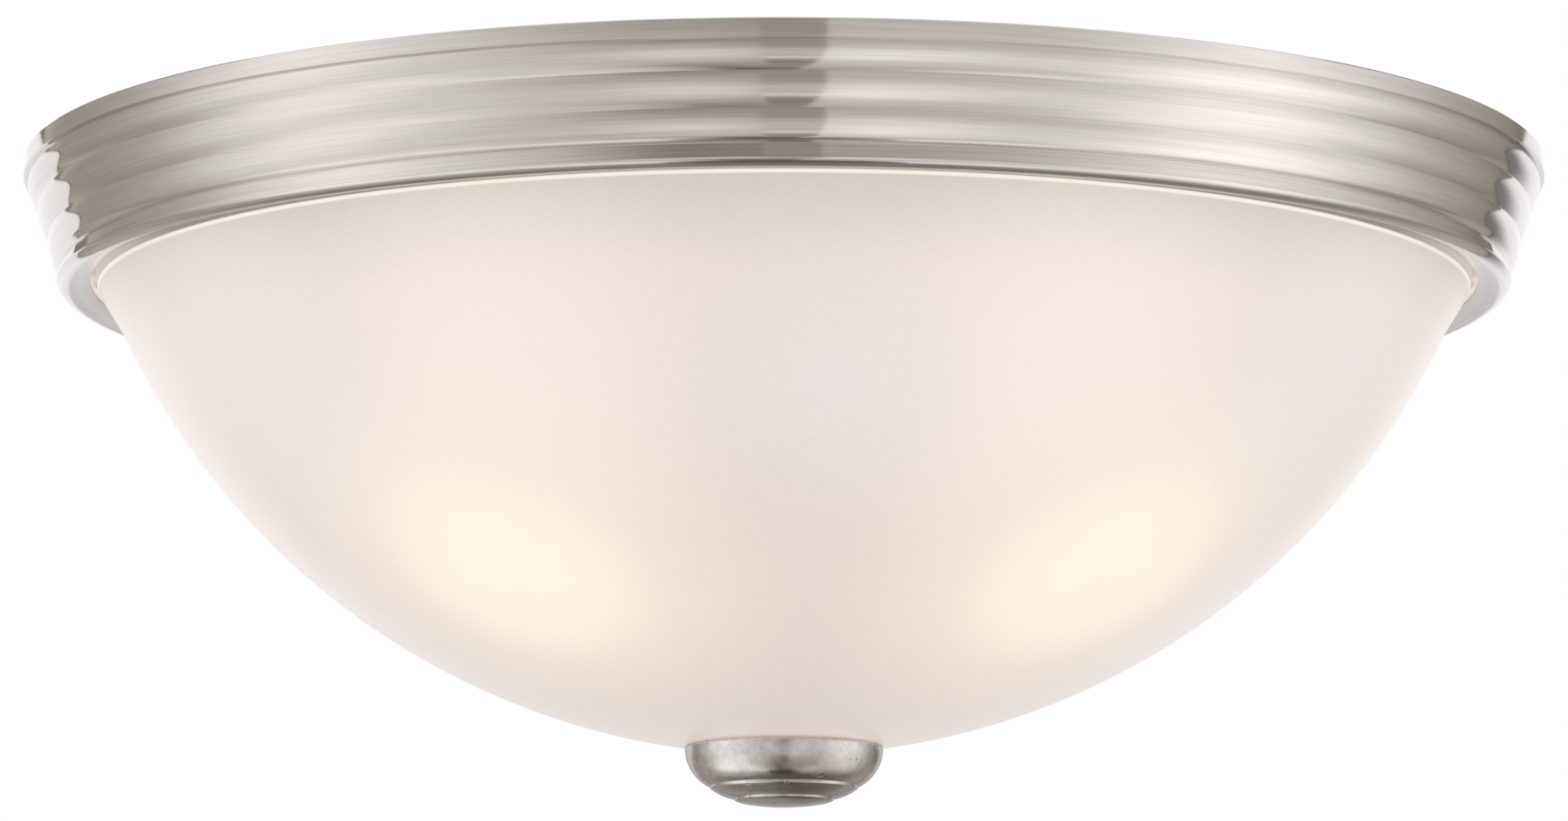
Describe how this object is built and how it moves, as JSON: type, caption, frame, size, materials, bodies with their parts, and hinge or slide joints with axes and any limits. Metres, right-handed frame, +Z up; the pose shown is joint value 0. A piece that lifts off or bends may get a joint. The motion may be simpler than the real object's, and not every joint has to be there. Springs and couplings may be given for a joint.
{
  "type": "flush ceiling light",
  "caption": "Flush ceiling light: ribbed brushed pan, domed frosted glass bowl held by a stepped finial on a centre rod, with side-by-side lampholders and bulbs inside.",
  "frame": {"origin": "centre of the ceiling plane, where the pan's flat ring meets the ceiling", "axes": "+Z up into the ceiling, the light hangs down along -Z; the lampholders stand behind the rod, at +Y, and the bulbs point forward, to -Y; X runs through the two box screws"},
  "size_m": [0.33, 0.33, 0.1641],
  "materials": {
    "brushed_nickel": "satin, brushed round the axis",
    "insulation_fibre": "matt glass-fibre mat",
    "white_paint": "gloss white enamel",
    "zinc_steel": "zinc plated",
    "green_screw": "green dyed zinc",
    "green_insulation": "satin",
    "porcelain": "glazed porcelain",
    "brass": "bright",
    "black_insulation": "satin",
    "white_insulation": "satin",
    "black_nylon": "moulded",
    "orange_plastic": "moulded",
    "frosted_glass": "etched white inside, satin outside",
    "black_rubber": "matt",
    "dark_glass": "gloss",
    "bulb_cap_metal": "bright",
    "bulb_white_glass": "soft white",
    "clear_glass": "clear",
    "tungsten": "drawn wire"
  },
  "bodies": {
    "fixture": {"bar_nut": "zinc_steel", "black_lead_1": "black_insulation", "black_lead_2": "black_insulation", "box_screws": "zinc_steel", "bracket_rivets": "zinc_steel", "ground_screw": "green_screw", "ground_wire": "green_insulation", "insulation_pad": "insulation_fibre", "lampholder_body_1": "porcelain", "lampholder_body_2": "porcelain", "lampholder_bracket_1": "zinc_steel", "lampholder_bracket_2": "zinc_steel", "lampholder_contact_1": "brass", "lampholder_contact_2": "brass", "lampholder_screws": "zinc_steel", "lampholder_shell_1": "brass", "lampholder_shell_2": "brass", "lead_bushings": "black_nylon", "lock_washer": "zinc_steel", "mounting_bar": "zinc_steel", "pan": "brushed_nickel", "pan_nut": "zinc_steel", "pan_washer": "zinc_steel", "reflector": "white_paint", "reflector_screws": "zinc_steel", "threaded_rod": "zinc_steel", "white_lead_1": "white_insulation", "white_lead_2": "white_insulation", "wire_connectors": "orange_plastic"},
    "bowl": {"glass_bowl": "frosted_glass", "rubber_washer": "black_rubber"},
    "finial_carriage": {"steel_washer": "zinc_steel"},
    "finial": {"finial": "brushed_nickel"},
    "bulb_1_carriage": {"bulb_contact_1": "brass"},
    "bulb_1": {"bulb_insulator_1": "dark_glass", "bulb_cap_1": "bulb_cap_metal", "bulb_glass_1": "bulb_white_glass", "bulb_stem_1": "clear_glass", "bulb_filament_1": "tungsten"},
    "bulb_2_carriage": {"bulb_contact_2": "brass"},
    "bulb_2": {"bulb_insulator_2": "dark_glass", "bulb_cap_2": "bulb_cap_metal", "bulb_glass_2": "bulb_white_glass", "bulb_stem_2": "clear_glass", "bulb_filament_2": "tungsten"}
  },
  "joints": [
    {"name": "bowl_lower", "type": "slide", "parent": "fixture", "child": "bowl", "axis": [0, 0, -1], "range_m": [0, 0.15]},
    {"name": "finial_travel", "type": "slide", "parent": "bowl", "child": "finial_carriage", "axis": [0, 0, -1], "range_m": [0, 0.00564]},
    {"name": "finial_turn", "type": "hinge", "parent": "finial_carriage", "child": "finial", "pos_m": [0, 0, -0.13], "axis": [0, 0, -1], "range_deg": [0, 2160]},
    {"name": "bulb_1_travel", "type": "slide", "parent": "fixture", "child": "bulb_1_carriage", "axis": [0, -0.9781, -0.2079], "range_m": [0, 0.01452]},
    {"name": "bulb_1_turn", "type": "hinge", "parent": "bulb_1_carriage", "child": "bulb_1", "pos_m": [-0.052, 0.062, -0.046], "axis": [0, -0.9781, -0.2079], "range_deg": [0, 1440]},
    {"name": "bulb_2_travel", "type": "slide", "parent": "fixture", "child": "bulb_2_carriage", "axis": [0, -0.9781, -0.2079], "range_m": [0, 0.01452]},
    {"name": "bulb_2_turn", "type": "hinge", "parent": "bulb_2_carriage", "child": "bulb_2", "pos_m": [0.052, 0.062, -0.046], "axis": [0, -0.9781, -0.2079], "range_deg": [0, 1440]}
  ],
  "couplings": [
    {"joint": "finial_turn", "follows": "finial_travel", "rad_per_m": 6684.2},
    {"joint": "bulb_1_turn", "follows": "bulb_1_travel", "rad_per_m": 1730.9},
    {"joint": "bulb_2_turn", "follows": "bulb_2_travel", "rad_per_m": 1730.9}
  ]
}
